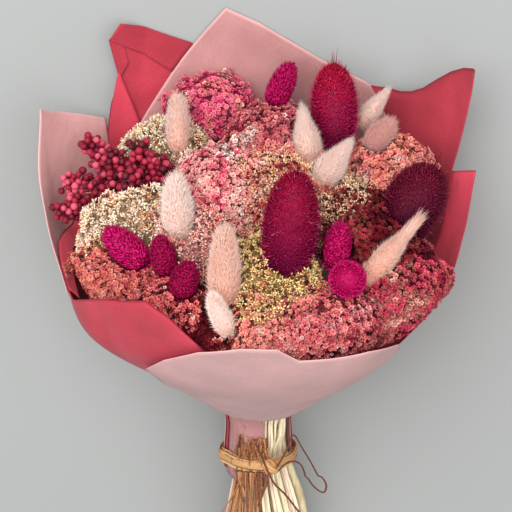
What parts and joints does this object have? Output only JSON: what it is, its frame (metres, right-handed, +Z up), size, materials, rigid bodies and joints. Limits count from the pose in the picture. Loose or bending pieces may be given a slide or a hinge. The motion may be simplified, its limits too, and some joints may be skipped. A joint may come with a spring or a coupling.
{
  "type": "dried flower bouquet",
  "caption": "Hand-tied bouquet of dyed dried flowers in layered pink and red florist's paper, bound with raffia, lying on its back.",
  "frame": {"origin": "centre of the bounding box's bottom face, on the surface the bouquet lies on", "axes": "+Y along the bouquet from the cut stem ends to the flowers, +X to the right seen from the front of the bouquet with its flowers up, +Z up from the surface, out of the bouquet's front"},
  "size_m": [0.273, 0.4354, 0.1992],
  "materials": {
    "pink_paper": "matte",
    "red_paper": "matte",
    "teasel_spines": "matte",
    "dried_stems": "matte",
    "canary_grass_heads": "matte",
    "amaranth_heads": "matte",
    "bunny_tails": "matte",
    "pepper_berries": "satin",
    "florets_hot_pink": "matte",
    "florets_cream": "matte",
    "florets_coral": "matte",
    "florets_raspberry": "matte",
    "florets_dusty_pink": "matte",
    "florets_salmon": "matte",
    "florets_crimson": "matte",
    "florets_green_cream": "matte",
    "florets_peach": "matte",
    "florets_olive": "matte",
    "raffia": "matte"
  },
  "bodies": {
    "root": {"berry_spray_1": "pepper_berries", "berry_spray_2": "pepper_berries", "broom_cream_back": "florets_cream", "broom_cream_left": "florets_cream", "broom_cream_middle": "florets_cream", "broom_dusty_pink": "florets_dusty_pink", "broom_green_cream": "florets_green_cream", "broom_peach": "florets_peach", "bunny_tail_1": "bunny_tails", "bunny_tail_2": "bunny_tails", "bunny_tail_3": "bunny_tails", "bunny_tail_4": "bunny_tails", "bunny_tail_5": "bunny_tails", "bunny_tail_6": "bunny_tails", "bunny_tail_7": "bunny_tails", "bunny_tail_8": "bunny_tails", "bunny_tail_9": "bunny_tails", "canary_grass_1": "canary_grass_heads", "canary_grass_2": "canary_grass_heads", "canary_grass_3": "canary_grass_heads", "canary_grass_4": "canary_grass_heads", "globe_amaranth_1": "amaranth_heads", "globe_amaranth_2": "amaranth_heads", "pink_paper_back": "pink_paper", "pink_paper_front": "pink_paper", "pink_paper_left": "pink_paper", "raffia_tie": "raffia", "red_paper_left": "red_paper", "red_paper_right_back": "red_paper", "red_paper_right_front": "red_paper", "statice_coral_back": "florets_coral", "statice_coral_right": "florets_coral", "statice_crimson": "florets_crimson", "statice_crimson_right": "florets_crimson", "statice_hot_pink": "florets_hot_pink", "statice_olive": "florets_olive", "statice_pink_front": "florets_hot_pink", "statice_raspberry": "florets_raspberry", "statice_salmon_front": "florets_salmon", "statice_salmon_left": "florets_salmon", "statice_salmon_low": "florets_salmon", "teasel_1_head": "teasel_spines", "teasel_1_stem": "dried_stems", "teasel_2_head": "teasel_spines", "teasel_2_stem": "dried_stems", "teasel_3_head": "teasel_spines", "teasel_3_stem": "dried_stems"}
  },
  "joints": []
}
